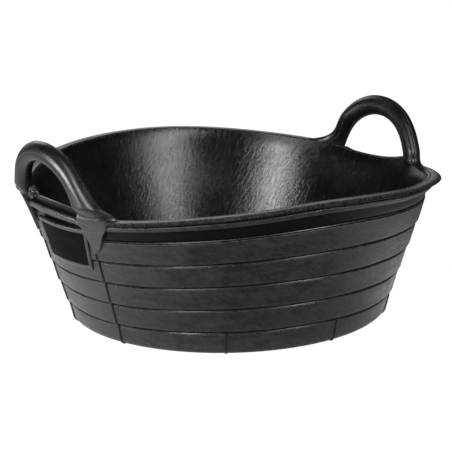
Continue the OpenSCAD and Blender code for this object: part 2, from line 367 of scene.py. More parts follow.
def trace_profile(name, points):
    """A closed profile in the XZ plane, extruded point by point from a single vertex."""
    piece = start_piece(name, bpy.ops.mesh.primitive_plane_add, size=0.001)
    bpy.ops.mesh.merge(type="CENTER")
    bpy.ops.transform.translate(value=(points[0][0], 0, points[0][1]))
    for here, there in zip(points, points[1:]):
        step = (there[0] - here[0], 0, there[1] - here[1])
        bpy.ops.mesh.extrude_region_move(TRANSFORM_OT_translate={"value": step})
    bpy.ops.mesh.select_all(action="DESELECT")
    to_mode("OBJECT")
    for v in (piece.data.vertices[0], piece.data.vertices[len(points) - 1]):
        v.select = True
    to_mode("EDIT")
    bpy.ops.mesh.edge_face_add()
    return piece


def spin_profile(steps, turn=FULL_TURN):
    """Spins the traced profile clockwise about the tub's axis and closes the result."""
    select_mesh()
    bpy.ops.mesh.spin(steps=steps, dupli=False, angle=turn, center=(0, 0, 0), axis=(0, 0, 1))
    close_skin()


def close_skin():
    """Merges doubled points, fills open ends and turns the faces outward."""
    select_mesh()
    bpy.ops.mesh.remove_doubles(threshold=0.00001)
    select_mesh()
    bpy.ops.mesh.fill_holes(sides=0)
    select_mesh()
    bpy.ops.mesh.normals_make_consistent(inside=False)
    to_mode("OBJECT")


def lay_piece(f, piece, turn=0.0, sill=False, rub_and_highlight=None):
    """Moves a spun piece onto the tub's form and notes where its edges take grey for scuffing and painted
    highlights.
    """
    marks = piece.data.attributes.new("rub_and_highlight", "FLOAT", "POINT")
    for v in piece.data.vertices:
        r, phi, z = hypot(v.co.x, v.co.y), atan2(v.co.y, v.co.x) + turn, v.co.z
        marks.data[v.index].value = rub_and_highlight(r, z) if rub_and_highlight else 0.0
        v.co = lay(f, r, phi, z, sill)


def loft(name, rows, cols, place):
    """A tube lofted from a grid whose columns close: place gives the point of a row and column and its share
    of grey for scuffing and painted highlights.
    """
    piece = start_piece(
        name, bpy.ops.mesh.primitive_grid_add, x_subdivisions=cols, y_subdivisions=rows - 1, size=1
    )
    to_mode("OBJECT")
    marks = piece.data.attributes.new("rub_and_highlight", "FLOAT", "POINT")
    for v in piece.data.vertices:
        row, col = divmod(v.index, cols + 1)
        v.co, marks.data[v.index].value = place(row, col % cols)
    to_mode("EDIT")
    close_skin()
    return piece


def pick(piece):
    """Makes a piece the only one selected."""
    bpy.ops.object.select_all(action="DESELECT")
    piece.select_set(True)
    bpy.context.view_layer.objects.active = piece


def round_edges(piece, width):
    """Rounds the sharp edges of a piece with an applied bevel."""
    pick(piece)
    bevel = piece.modifiers.new("Rounded edges", "BEVEL")
    bevel.width = width
    bevel.segments = 2
    bevel.limit_method = "ANGLE"
    bevel.angle_limit = radians(50)
    bpy.ops.object.modifier_apply(modifier=bevel.name)


def finish_piece(piece, crisp, material, slot, *nodes):
    """Shades a piece smooth below an angle and lets it ride on the tub, in its material, for its nodes."""
    pick(piece)
    bpy.ops.object.shade_smooth_by_angle(angle=radians(crisp))
    piece.data.materials.clear()
    piece.data.materials.append(material)
    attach(piece, "root")
    if nodes:
        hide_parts(*nodes)


def add(tree, kind, inputs=None, links=None, **settings):
    """Adds a shader node with its settings, its input values and its links."""
    made = tree.nodes.new(f"ShaderNode{kind}")
    for key, value in settings.items():
        setattr(made, key, value)
    for key, value in (inputs or {}).items():
        made.inputs[key].default_value = value
    for key, value in (links or {}).items():
        tree.links.new(value, made.inputs[key])
    return made


def compute(tree, operation, *values):
    """A sum of outputs and plain numbers."""
    links = {k: v for k, v in enumerate(values) if isinstance(v, bpy.types.NodeSocket)}
    numbers = {k: v for k, v in enumerate(values) if k not in links}
    return add(tree, "Math", numbers, links, operation=operation).outputs[0]


def measure(tree, operation, place, vector):
    """A place measured against a fixed vector."""
    return add(tree, "VectorMath", {1: vector}, {0: place}, operation=operation).outputs["Value"]


def remap(tree, value, before, after, **settings):
    """A value mapped from one range to another."""
    limits = {"From Min": before[0], "From Max": before[1], "To Min": after[0], "To Max": after[1]}
    return add(tree, "MapRange", limits, {"Value": value}, **settings).outputs["Result"]


def stretch(tree, place, size):
    """Texture place scaled to patches of a length along and across."""
    scale = (1 / size[0], 1 / size[1], 1 / size[1])
    return add(tree, "Mapping", {"Scale": scale}, {"Vector": place}).outputs[0]


def cloud(tree, place, detail, roughness, distortion=0.0, scale=1.0):
    """A noise texture."""
    values = {"Scale": scale, "Detail": detail, "Roughness": roughness, "Distortion": distortion}
    return add(tree, "TexNoise", values, {"Vector": place}).outputs["Fac"]


def bumped(tree, strength, distance, **links):
    """Normal of a bumped surface."""
    return add(tree, "Bump", {"Strength": strength, "Distance": distance}, links).outputs["Normal"]


def bare_tree(owner):
    """Empty node tree of a material or a world."""
    owner.use_nodes = True
    owner.node_tree.nodes.clear()
    return owner.node_tree


def rubber(name, colours, blotches, marks, turn, depth, rough, level, seam=0):
    """Black vulcanised rubber: blotched colour, grey on scuffed edges and where highlights are painted,
    uneven gloss and a shallow skin texture.

    colours are those of the rubber, its blotches, and the grey of its scuffed edges and painted highlights.
    blotches and marks are the lengths along and across of patches and skin marks. turn is the slant of the
    marks and depth their height, rough the range of roughness and level the gloss. seam is the side where a
    texture wrapped round the tub meets itself, 1 for the front and -1 for the back, and 0 leaves it
    unwrapped.
    """
    found = bpy.data.materials.get(name)
    if found:
        return found
    made = bpy.data.materials.new(name)
    tree = bare_tree(made)
    finish = bpy.context.scene.tub_finish
    base, second, worn_and_highlit = ((*getattr(finish, key), 1) for key in colours)
    place = add(tree, "TexCoord").outputs["Object"]
    flat = place
    if seam:
        split = add(tree, "SeparateXYZ", None, {0: place}).outputs
        heading = compute(tree, "ARCTAN2", split["X"], compute(tree, "MULTIPLY", split["Y"], seam))
        along = compute(tree, "MULTIPLY", heading, WRAP_R)
        flat = add(tree, "CombineXYZ", None, {"X": along, "Y": split["Z"]}).outputs[0]
    slant = add(tree, "Mapping", {"Rotation": (0, 0, turn)}, {"Vector": flat}).outputs[0]
    blotch = cloud(tree, stretch(tree, flat, blotches), detail=6, roughness=0.62, distortion=0.5)
    skin = cloud(tree, stretch(tree, slant, marks), detail=5, roughness=0.6, distortion=0.8)
    pores = cloud(tree, place, detail=2, roughness=0.5, scale=PORES)
    wisps = compute(tree, "MULTIPLY_ADD", skin, 0.8, blotch)
    share = remap(tree, wisps, (0.74, 1.12), (0.0, 1.0))
    dull = add(tree, "Mix", {6: base, 7: second}, {0: share}, data_type="RGBA").outputs[2]
    # Grey share from the attribute: scuffs, and highlights painted on edges and faces, mottled by the skin
    # marks.
    mark = add(tree, "Attribute", attribute_name="rub_and_highlight").outputs["Fac"]
    rub_and_highlight_share = compute(tree, "MULTIPLY", mark, remap(tree, skin, (0.4, 0.64), (0.1, 1.0)))
    tint = add(tree, "Mix", {7: worn_and_highlit}, {0: rub_and_highlight_share, 6: dull}, data_type="RGBA").outputs[2]
    uneven = compute(tree, "MULTIPLY_ADD", skin, 0.5, blotch)
    gloss = remap(tree, uneven, (0.58, 0.92), rough)
    marked = bumped(tree, 1.0, depth, Height=skin)
    porous = bumped(tree, 0.6, PORE_DEPTH, Height=pores, Normal=marked)
    shader = add(
        tree, "BsdfPrincipled", {"IOR": 1.52, "Specular IOR Level": level},
        {"Base Color": tint, "Roughness": gloss, "Normal": porous},
    )
    add(tree, "OutputMaterial", None, {"Surface": shader.outputs[0]})
    return made


def pressed_rubber():
    """Press-moulded rubber of the bands: charcoal, satin, with a dusty bloom drawn out along the bands."""
    return rubber(
        "Pressed vulcanised rubber", ("wall", "bloom", "worn_and_highlit"), seam=-1, blotches=(0.034, 0.011),
        marks=(0.0085, 0.0036), turn=0.4, depth=0.0007, rough=(0.23, 0.44), level=0.58,
    )


def plate_shade_rubber():
    """Pressed rubber of the plate's panel: a darker, duller copy that paints shade onto the bare panel,
    without bloom, nearly black and dull.
    """
    return rubber("Pressed rubber painted dark for plate shade", **SHADE_SKIN, depth=0.00012, rough=(0.55, 0.75), level=0.04)


def recess_shade_rubber():
    """Pressed rubber of the rim course: a darker, duller copy that paints in the shade under the lip, without
    bloom, black with a faint satin sheen.
    """
    return rubber("Pressed rubber painted dark for recess shade", **SHADE_SKIN, depth=0.00024, rough=(0.22, 0.36), level=0.16)


def calendered_rubber():
    """Calendered sheet of the liner: near black and shinier, with wispy marks that break up a highlight."""
    return rubber(
        "Calendered rubber sheet", ("liner", "wall", "worn_and_highlit"), seam=1, blotches=(0.1, 0.14),
        marks=(0.003, 0.008), turn=0.55, depth=0.0003, rough=(0.18, 0.3), level=0.42,
    )


def floor_rubber():
    """Calendered sheet of the floor: as the liner, with its wisps lying straight across and scuffed dull."""
    return rubber(
        "Scuffed rubber sheet", ("liner", "wall", "worn_and_highlit"), blotches=(0.09, 0.06),
        marks=(0.008, 0.003), turn=0.7, depth=0.0003, rough=(0.26, 0.42), level=0.42,
    )


def moulded_rubber():
    """Hot-moulded rubber of the loops and the flash: black, smooth, scuffed grey along its parting lines, and
    grey where a highlight is painted on the flash.
    """
    return rubber(
        "Hot-moulded rubber", ("handle", "wall", "worn_and_highlit"), blotches=(0.03, 0.03),
        marks=(0.003, 0.003), turn=0.0, depth=0.00008, rough=(0.27, 0.41), level=0.46,
    )


def trimmed_rubber():
    """Moulded rubber of the lip, trimmed and handled: black, glossy on its crest, with grey scuffed specks
    and a painted highlight along the crest.
    """
    return rubber(
        "Trimmed moulded rubber", ("handle", "wall", "worn_and_highlit"), blotches=(0.02, 0.02),
        marks=(0.0026, 0.0026), turn=0.3, depth=0.00012, rough=(0.2, 0.34), level=0.46,
    )


class TUB_OT_wall_liner(bpy.types.Operator):
    """Spins the smooth inner sheet of the wall, with its cove and its rounded top edge"""

    bl_idname = "tub.wall_liner"
    bl_label = "Wall Liner"

    def execute(self, context):
        f = tub_form()
        crown_r, feather = 0.0024, 0.0008
        seat, top = f.floor_t + BOND, f.rim_h - 0.003
        out_t, in_t = f.band_t + BOND, f.wall_t
        edge = f.wall_top_r - in_t
        outer = on_wall(f, ((z, -out_t) for z in spaced(seat, top, 7)))
        crown = [(f.wall_top_r - out_t, f.rim_h - 0.0002), (f.wall_top_r - out_t - 0.0003, f.rim_h)]
        crown += arc(edge + crown_r, f.rim_h - crown_r, crown_r, crown_r, range(90, 166, 15))
        cove_top = seat + f.cove_r
        inner = on_wall(f, ((z, -in_t) for z in spaced(top, cove_top, 13)[:-1]))
        cove_x = wall_r(f, cove_top) - in_t - f.cove_r
        cove = arc(cove_x, cove_top, f.cove_r, feather - f.cove_r, range(0, 82, 9))
        foot_r = wall_r(f, seat) - in_t - f.cove_r
        foot = [(foot_r, seat + feather - 0.0001), (foot_r, seat)]
        piece = trace_profile("liner_skin", outer + crown + inner + cove + foot)
        spin_profile(f.columns)

        # Grey on the inner top edge: scuffing, and a painted highlight along the crest.
        def rubbed_and_highlit(r, z):
            return 0.7 * smooth((z - f.rim_h + 0.0022) / 0.0018) * (r < edge + 0.003)

        lay_piece(f, piece, sill=True, rub_and_highlight=rubbed_and_highlit)
        finish_piece(piece, 60, calendered_rubber(), "liner_rubber", "wall_liner")
        return {"FINISHED"}


class TUB_OT_lap_bands(bpy.types.Operator):
    """Spins the lapped bands, each with a full lower lip and a crisp upper edge, and the heel"""

    bl_idname = "tub.lap_bands"
    bl_label = "Lapped Bands"

    def execute(self, context):
        f = tub_form()
        gap = 0.00008
        for i in range(1, f.bands + 1):
            high = crease_z(f, i)
            edge = high if i == 1 else high - BAND_DROP
            top = on_wall(f, ((edge - d, share * f.lap) for d, share in BAND_EDGE))
            top.append((top[-1][0] - BAND_TUCK, top[-1][1]))
            top.append((wall_r(f, high) - BAND_TUCK, high - gap))
            if i < f.bands:
                low = crease_z(f, i + 1)
                lip = [(wall_r(f, low) + LIP_TUCK * f.lap, low + gap)]
                heights = [low + u for u in LIP_STEPS]
            else:
                low = f.floor_t
                lip = heel_arc(f, range(-90, 1, 10))
                heights = HEEL_STEPS
            lip += on_wall(f, ((z, band_offset(f, z)) for z in heights))
            back = [(wall_r(f, high) - f.band_t, high - gap), (wall_r(f, low) - f.band_t, low + gap)]
            piece = trace_profile(f"band_{i}", lip + top + back)
            spin_profile(f.columns)

            def rubbed_and_highlit(r, z, low=low, edge=edge):
                out = r - wall_r(f, z)
                proud = smooth((out - 0.6 * f.lap) / (0.4 * f.lap)) * smooth((low + 0.004 - z) / 0.003)
                # crisp paints a highlight line of grey along the band's upper edge; proud greys the scuffed
                # lower lip.
                crisp = smooth(1 - abs(z - (edge - 0.0022)) / 0.0009) * (out > -0.0004)
                return max(0.25 * proud, 0.7 * crisp)

            lay_piece(f, piece, rub_and_highlight=rubbed_and_highlit)
            finish_piece(piece, 50, pressed_rubber(), "wall_rubber", f"lap_band_{i}")
        return {"FINISHED"}


def build_course(f):
    """The plain course over the bands, hollowed below the bead and raised to the rim under the loops."""
    low, gap, hollow, raised = crease_z(f, 1), 0.0001, 0.0019, 0.1
    course = [(wall_r(f, low) - f.crease, low + gap)]
    course += on_wall(f, (
        (low + 0.003, -0.0006), (low + 0.006, -0.001), (low + 0.009, -0.0015),
        (f.bead_low - 0.0004, -hollow), (f.bead_low + 0.001, -hollow),
    ))
    course += [(wall_r(f, f.lip_low) - 0.0012, f.lip_low - gap), (wall_r(f, f.lip_low) - 0.0016, f.lip_low)]
    course += [(f.wall_top_r - f.band_t, f.lip_low), (wall_r(f, low) - f.band_t, low + gap)]
    piece = trace_profile("rim_course_skin", course)
    spin_profile(f.columns)
    for v in piece.data.vertices:
        phi = atan2(v.co.y, v.co.x)
        if v.co.z > f.lip_low - 0.0003:
            hole = arc_angle(f, end_form(f, phi)[0] / 2)
            v.co.z += (f.lip_t - 0.0002) * smooth((hole + raised - from_end(phi)) / raised)
    lay_piece(f, piece, sill=True)
    # The course takes a darker, duller copy of the rubber that paints in the shade under the lip.
    finish_piece(piece, 50, recess_shade_rubber(), "wall_rubber", "rim_course")


def build_bead(f):
    """The bead under the lip, a ring of rounded square section."""
    steps, square, half_d, proud = 32, 0.6, 0.003, 0.0004
    middle = f.bead_low + f.bead_h / 2
    bead = []
    for k in range(steps):
        a = FULL_TURN * k / steps
        c, s = (copysign(abs(x) ** square, x) for x in (cos(a), sin(a)))
        z = f.bead_low + f.bead_h / 2 * (1 + s)
        bead.append((wall_r(f, z) + proud + half_d * c, z))
    piece = trace_profile("rim_bead", bead)
    spin_profile(f.columns)

    # Grey over the bead's outer face, most at its upper and lower corners: scuffing, and a painted highlight
    # that lightens the bead.
    def rubbed_and_highlit(r, z):
        return (0.3 + 0.6 * smooth((abs(z - middle) - 0.0012) / 0.001)) * (r > wall_r(f, z) + 0.0012)

    lay_piece(f, piece, sill=True, rub_and_highlight=rubbed_and_highlit)
    finish_piece(piece, 60, pressed_rubber(), "wall_rubber")


def build_flash(f, i):
    """The thin flash pressed out of a crease, painted grey as a highlight line, most at the uppermost one."""
    # Share of grey painted on as the highlight line.
    drop, rub_and_highlight = (0.0004, 0.8) if i == 1 else (0.0017, 0.25)
    high = crease_z(f, i) - drop
    piece = trace_profile(f"crease_flash_{i}", [(wall_r(f, high) + dr, high + dz) for dr, dz in FLASH])
    spin_profile(f.columns)
    lay_piece(f, piece, rub_and_highlight=lambda r, z: rub_and_highlight)
    finish_piece(piece, 25, moulded_rubber(), "wall_rubber")


def build_lips(f):
    """The two flared lips along the sides, thinned where they end at the feet of the loops."""
    inside, thinning, thin_run = f.wall_top_r - f.band_t, 0.6, 0.014
    lip = [(inside, f.lip_low + 0.0001)]
    lip += [(f.lip_r + dr, f.rim_h + dz) for dr, dz in LIP]
    lip += [(f.crest_r, f.rim_h), (inside + 0.002, f.rim_h), (inside, f.rim_h)]
    right = arc_angle(f, f.right_grip_w / 2 + 0.022)
    left = arc_angle(f, f.left_grip_w / 2 + f.gusset_w + 0.0003)
    sweep = pi - (right + left)

    # Grey over the top of the lip: scuffed specks, and a painted highlight along its crest.
    def rubbed_and_highlit(r, z):
        up = z - f.rim_h
        return 0.5 * smooth((up + 0.0026) / 0.0008) + 0.5 * smooth((up + 0.0007) / 0.0006)

    for name, node, turn in (
        ("lip_back", "rim_lip_back", right), ("lip_front", "rim_lip_front", left + pi)
    ):
        piece = trace_profile(name, lip)
        spin_profile(round(f.columns * sweep / FULL_TURN), sweep)
        for v in piece.data.vertices:
            r, phi = hypot(v.co.x, v.co.y), -atan2(v.co.y, v.co.x)
            near = min(phi, sweep - phi) * f.lip_r
            cut = thinning * max(0.0, r - f.crest_r) * (1 - smooth(near / thin_run))
            v.co.x, v.co.y = v.co.x * (1 - cut / r), v.co.y * (1 - cut / r)
        lay_piece(f, piece, turn=turn + sweep, rub_and_highlight=rubbed_and_highlit)
        finish_piece(piece, 50, trimmed_rubber(), "handle_rubber", node)


class TUB_OT_rim(bpy.types.Operator):
    """Spins the plain rim course with its bead, the flash in the creases and the two lips on the sides"""

    bl_idname = "tub.rim"
    bl_label = "Rim Course and Lips"

    def execute(self, context):
        f = tub_form()
        build_course(f)
        build_bead(f)
        for i in range(1, f.bands + 1):
            build_flash(f, i)
        build_lips(f)
        return {"FINISHED"}


def loop_form(f, side):
    """Form of a loop: its hole, its stand on the wall, its two feet and its turn on the tub.

    The right loop has a stout front leg that sweeps out at the rim, and a hole that opens at the back.
    The back leg of the left loop is tucked in.
    """
    if side == "right":
        return SimpleNamespace(
            grip=f.right_grip_w, reach=f.right_reach, lean=f.right_lean, foot_out=f.wall_top_r - 0.0005,
            hole_h=f.grip_h - 0.0009, crown_h=f.grip_h + f.bar_t + 0.0019, chin=0.0055, square=0.94,
            flares=(1.36 * f.foot_flare, 0.3 * f.foot_flare), curls=(9, 4.3),
            sweep=0.03, open=0.006, tuck=0.0, stout=0.0085, turn=1,
        )
    return SimpleNamespace(
        grip=f.left_grip_w, reach=f.left_reach, lean=f.left_lean, foot_out=f.foot_out_r,
        hole_h=f.grip_h, crown_h=f.grip_h + f.bar_t + 0.001, chin=f.foot_rise, square=0.94,
        flares=(f.foot_flare, f.foot_flare), curls=(4.3, 4.3),
        sweep=0.0, open=0.0, tuck=0.0034, stout=0.0, turn=-1,
    )


def bar_faces(f, at, loop):
    """Radii of a loop's inner and outer faces at a place in its plane: the rim's below, the bar's above."""
    inner_lift, outer_lift, over_run = 0.008, 0.001, 0.008
    k = chin = smooth(at.y / f.foot_rise)
    if loop.chin < f.foot_rise and at.x > 0:
        chin = smooth(at.y / LEG_RISE)
    elif loop.chin < f.foot_rise:
        half = (f.bar_t + loop.flares[1]) / 2
        off = abs(at.x) - loop.grip / 2 - half
        lift = (inner_lift if off < 0 else outer_lift) * min(1.0, abs(off) / half) ** 2
        chin = sqrt(1 - (1 - clamp((at.y - lift) / loop.chin)) ** 2)
    mid = f.wall_mid_r + loop.reach + tan(loop.lean) * at.y
    if at.x < 0:
        mid -= loop.tuck * (1 - smooth(at.y / LEG_RISE))
    inner = f.base_in_r * (1 - chin) + (mid - f.bar_d / 2) * chin
    over = clamp((loop.grip / 2 + f.gusset_w - abs(at.x)) / over_run)
    foot = min(f.crest_r, loop.foot_out)
    outer = (foot + (loop.foot_out - foot) * over) * (1 - k) + (mid + f.bar_d / 2) * k
    return inner, outer


def loop_edges(f, t, loop):
    """Points of the hole's edge and of the crown's edge at an angle round the arch."""
    c, s = cos(t), sin(t)
    low = 1 - s
    foot = 0 if c > 0 else 1
    flare = copysign(loop.flares[foot], c) * low ** loop.curls[foot]
    hole = Vector((loop.grip / 2 * c, loop.hole_h * s))
    crown = Vector(((loop.grip / 2 + f.bar_t) * c + flare, loop.crown_h * s))
    if c < 0:
        hole.x += loop.stout * STOUT_HOLE * low
        crown.x -= loop.stout * low**STOUT_FADE * smooth(s / STOUT_RISE) + loop.sweep * low**SWEEP_FADE
    else:
        hole.x += loop.open * low**OPEN_FADE
    return hole, crown


def crown_height(f, x, loop):
    """Height of the crown's edge over a place along the rim."""
    low, high = 0.0, pi / 2
    for _ in range(24):
        t = (low + high) / 2
        low, high = (t, high) if loop_edges(f, t, loop)[1].x > x else (low, t)
    return loop.crown_h * sin(low)


def loop_point(f, t, a, loop):
    """A point of a loop at an angle round its arch and an angle round its bar, with the grey of its scuffed
    parting lines there.
    """
    hole, crown = loop_edges(f, t, loop)
    c, s = cos(a), sin(a)
    square = loop.square + CROWN_SQUARE * c
    spread = (abs(c) ** (2 / square) + abs(s) ** (2 / square)) ** (-square / 2)
    across, deep = spread * c, spread * s
    ridge = 0.0
    for line in PARTING:
        off = (a + loop.turn * radians(line) + pi) % FULL_TURN - pi
        ridge = max(ridge, bell(off / radians(PARTING_WIDTH)))
    ridge *= smooth((sin(t) - 0.03) / 0.1)
    grown = 1 + PARTING_RISE * ridge
    at = (hole + crown) / 2 + (crown - hole) / 2 * across * grown
    inner, outer = bar_faces(f, at, loop)
    r = (inner + outer) / 2 + (outer - inner) / 2 * deep * grown
    point = lay(f, r, arc_angle(f, at.x), f.rim_h)
    point.z += at.y + BOND
    return point, ridge


def turned(loop, point, flip=1):
    """A point of the right end turned to the end of a loop, or flipped to its other foot."""
    return Vector((loop.turn * point.x, loop.turn * flip * point.y, point.z))


class TUB_OT_handles(bpy.types.Operator):
    """Lofts the two loops with their feet and parting lines, and the scar of trimming in the left hole"""

    bl_idname = "tub.handles"
    bl_label = "Loop Handles"

    def execute(self, context):
        f = tub_form()
        rings, bar, crowding = 211, 240, 0.125
        for side in ("right", "left"):
            loop = loop_form(f, side)

            def place(row, col, loop=loop):
                x = row / (rings - 1)
                t = pi * (x - crowding * sin(FULL_TURN * x))
                point, rub_and_highlight = loop_point(f, t, FULL_TURN * col / bar, loop)
                return turned(loop, point), rub_and_highlight

            piece = loft(f"loop_{side}", rings, bar, place)
            finish_piece(piece, 50, moulded_rubber(), "handle_rubber", f"handle_{side}")

        tiers, turns = 24, 48

        def lump(row, col):
            v, u = pi * (row + 0.5) / tiers, FULL_TURN * col / turns
            way = Vector((sin(v) * cos(u), sin(v) * sin(u), cos(v)))
            size = 1 + sum(share * noise.noise(scale * way) for scale, share in SCAR_LUMPS)
            along, deep, tall = SCAR_SIZE
            x = SCAR_AT[0] - loop.grip / 2 + along * size * way.x
            point = lay(f, f.wall_mid_r + deep * size * way.y, arc_angle(f, x), f.rim_h)
            point.z += SCAR_AT[1] + (tall - SCAR_LEAN * way.x) * size * way.z
            return turned(loop, point), 0.9

        piece = loft("trim_scar", tiers, turns, lump)
        finish_piece(piece, 50, trimmed_rubber(), "handle_rubber")
        return {"FINISHED"}


def tongue_point(f, loop, climb, v, up, u, front):
    """A point of a tongue and its share of painted highlight: v runs from the tip to the rim, up on along the
    loop, u across.
    """
    widening, proud, sunk = 0.004, 0.0003, 0.0004
    side_curve, thick_curve, crown_share = 0.55, 1.7, 0.7
    z = f.rim_h - f.gusset_drop * (1 - v)
    if loop.turn > 0:
        z -= RIGHT_DROP * v
    tip = loop.grip / 2 + TIP_SHARE * f.gusset_w
    near = tip - TIP_SHARE * f.gusset_w * v
    far = tip + (1 - TIP_SHARE) * f.gusset_w * v**side_curve + widening * smooth((v - 0.5) / 0.3)
    x = near + (far - near) * u + widening * up * (1 - u) ** 2
    h = min(climb, crown_share * crown_height(f, x, loop)) * up * (1 - u)
    skin = wall_r(f, z) + f.lap + f.gusset_t + (f.gusset_full - f.gusset_t) * v**thick_curve + proud
    if h > 0:
        hole, crown = loop_edges(f, asin(min(1.0, h / loop.crown_h)), loop)
        inner, outer = bar_faces(f, Vector((x, h)), loop)
        across = min(1.0, abs((2 * x - hole.x - crown.x) / (crown.x - hole.x)))
        deep = max(0.0, 1 - across ** (2 / TONGUE_SQUARE)) ** (TONGUE_SQUARE / 2)
        bar = (inner + outer) / 2 + (outer - inner) / 2 * deep
        skin += (bar - sunk - skin) * smooth(up)
    point = lay(f, skin if front else wall_r(f, z) - SUNK_SHARE * f.crease, arc_angle(f, x), z)
    point.z += h
    # Grey painted over the front face as a highlight, strongest along the inner edge and fading towards the
    # rim.
    edge = max(0.8, smooth((0.1 - u) / 0.08)) * (1 - smooth((v - 0.7) / 0.3)) if front else 0.0
    return point, 0.6 * edge


class TUB_OT_gussets(bpy.types.Operator):
    """Lofts the flat tongues under the feet of the loops"""

    bl_idname = "tub.gussets"
    bl_label = "Gussets"

    def execute(self, context):
        f = tub_form()
        rows, more, half, inset = 27, 9, 31, 0.35
        for name, flip, climb in (
            ("gusset_right_back", 1, 0.0004),
            ("gusset_right_front", -1, 0.0004),
            ("gusset_left_front", 1, 0.015),
            ("gusset_left_back", -1, 0.003),
        ):
            loop = loop_form(f, name.split("_")[1])
            loop.flares, loop.curls = loop.flares[::flip], loop.curls[::flip]

            def place(row, col, loop=loop, flip=flip, climb=climb):
                v = min(1.0, (row + inset) / (rows - 1 + inset))
                up = max(0.0, (row - rows + 1) / more)
                front = col < half
                u = (col if front else 2 * half - 1 - col) / (half - 1)
                point, rub_and_highlight = tongue_point(f, loop, climb, v, up, u, front)
                return turned(loop, point, flip), rub_and_highlight

            piece = loft(f"{name}_tongue", rows + more, 2 * half, place)
            round_edges(piece, 0.0004)
            finish_piece(piece, 35, pressed_rubber(), "handle_rubber", name)
        return {"FINISHED"}


class TUB_OT_badge(bpy.types.Operator):
    """Lofts the bare framed plate under the left loop"""

    bl_idname = "tub.badge"
    bl_label = "Bare Plate"

    def execute(self, context):
        f = tub_form()
        centre = f.rim_h - PLATE_DROP - f.badge_h / 2

        def steps(size):
            half, inner = size / 2, size / 2 - f.border_w
            skirt, bevel, inset = 0.001, 0.0008, 0.0006
            side = [half + skirt, half, half - bevel, inner + bevel, inner]
            side += spaced(inner - inset, 0.0, 7)
            return [-x for x in side] + side[-2::-1]

        def on_plate(across, up, thick):
            z = centre + up
            x = f.badge_shift + across + PLATE_LEAN * (up + f.badge_h / 2)
            return lay(f, wall_r(f, z) + thick, pi + arc_angle(f, x), z)

        us, vs = steps(f.badge_w), steps(f.badge_h)
        cols = len(us)

        def place(row, col):
            if col >= cols:
                return on_plate(us[2 * cols - 1 - col], vs[row], -SUNK_SHARE * f.crease), 0.0
            ring = min(row, len(vs) - 1 - row, col, cols - 1 - col)
            rise = BORDER_RISES[min(ring, len(BORDER_RISES) - 1)]
            # The raised border is greyed: scuffing, and a painted highlight on it.
            return on_plate(us[col], vs[row], f.lap + f.badge_t + f.border_h * rise), 0.4 * max(0.0, rise)

        piece = loft("plate_frame", len(vs), 2 * cols, place)
        finish_piece(piece, 35, pressed_rubber(), "wall_rubber", "badge_plate")

        wide, tall, n, sunk = f.badge_w / 2 - f.border_w, f.badge_h / 2 - f.border_w, 13, 0.001

        def field(row, col):
            front = col < n
            u = -1 + 2 * (col if front else 2 * n - 1 - col) / (n - 1)
            v = -1 + 2 * row / (n - 1)
            return on_plate(u * wide, v * tall, f.lap + f.badge_t if front else f.lap - sunk), 0.0

        piece = loft("plate_field", n, 2 * n, field)
        # The panel takes a darker, duller copy of the rubber that paints in shade.
        finish_piece(piece, 35, plate_shade_rubber(), "wall_rubber")
        return {"FINISHED"}


class TUB_OT_parting_ridges(bpy.types.Operator):
    """Lofts the thin mould parting ridges that run down the wall and round the heel"""

    bl_idname = "tub.parting_ridges"
    bl_label = "Parting Ridges"

    def execute(self, context):
        f = tub_form()
        cols, start, ground, tip, growth, flat = 12, 0.0105, 0.0003, 0.35, 0.4, 0.9
        right, left = (arc_angle(f, g / 2 + 0.25 * f.gusset_w) for g in (f.right_grip_w, f.left_grip_w))
        long_top, long_steps = f.rim_h - f.gusset_drop + 0.001, 64
        short_top, short_steps = crease_z(f, f.bands) - 0.0012, 14
        ends = (right, pi - left, pi + left, FULL_TURN - right)
        lines = [(phi, long_top, long_steps) for phi in ends]
        lines += [(radians(k), short_top, short_steps) for k in SHORT_RIDGES]
        for number, (phi, top, count) in enumerate(lines, 1):
            path = heel_arc(f, HEEL_ANGLES)
            path += on_wall(f, ((z, band_offset(f, z)) for z in spaced(start, top, count)))

            def place(row, col, path=path, phi=phi):
                r, z = path[row]
                a = FULL_TURN * col / cols
                width = f.ridge_w / 2 * min(1.0, tip + growth * min(row, len(path) - 1 - row))
                low = radians(HEEL_ANGLES[row]) if row < len(HEEL_ANGLES) else 0.0
                proud = flat * width * sin(a) + 0.0001
                z = max(ground, z + proud * sin(low))
                return lay(f, r + proud * cos(low), phi + width * cos(a) / r, z), 0.0

            piece = loft(f"parting_ridge_{number}", len(path), cols, place)
            finish_piece(piece, 60, moulded_rubber(), "wall_rubber")
        return {"FINISHED"}


class TUB_OT_floor_finish(bpy.types.Operator):
    """Gives the floor sheet its scuffed rubber"""

    bl_idname = "tub.floor_finish"
    bl_label = "Floor Finish"

    def execute(self, context):
        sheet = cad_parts["floor_sheet"]
        sheet.data.materials.clear()
        sheet.data.materials.append(floor_rubber())
        return {"FINISHED"}


def around(turn, distance, height=0.0):
    """A place on the stage at an angle round the tub from the camera."""
    a = FACING + turn
    return Vector((distance * sin(a), -distance * cos(a), height))


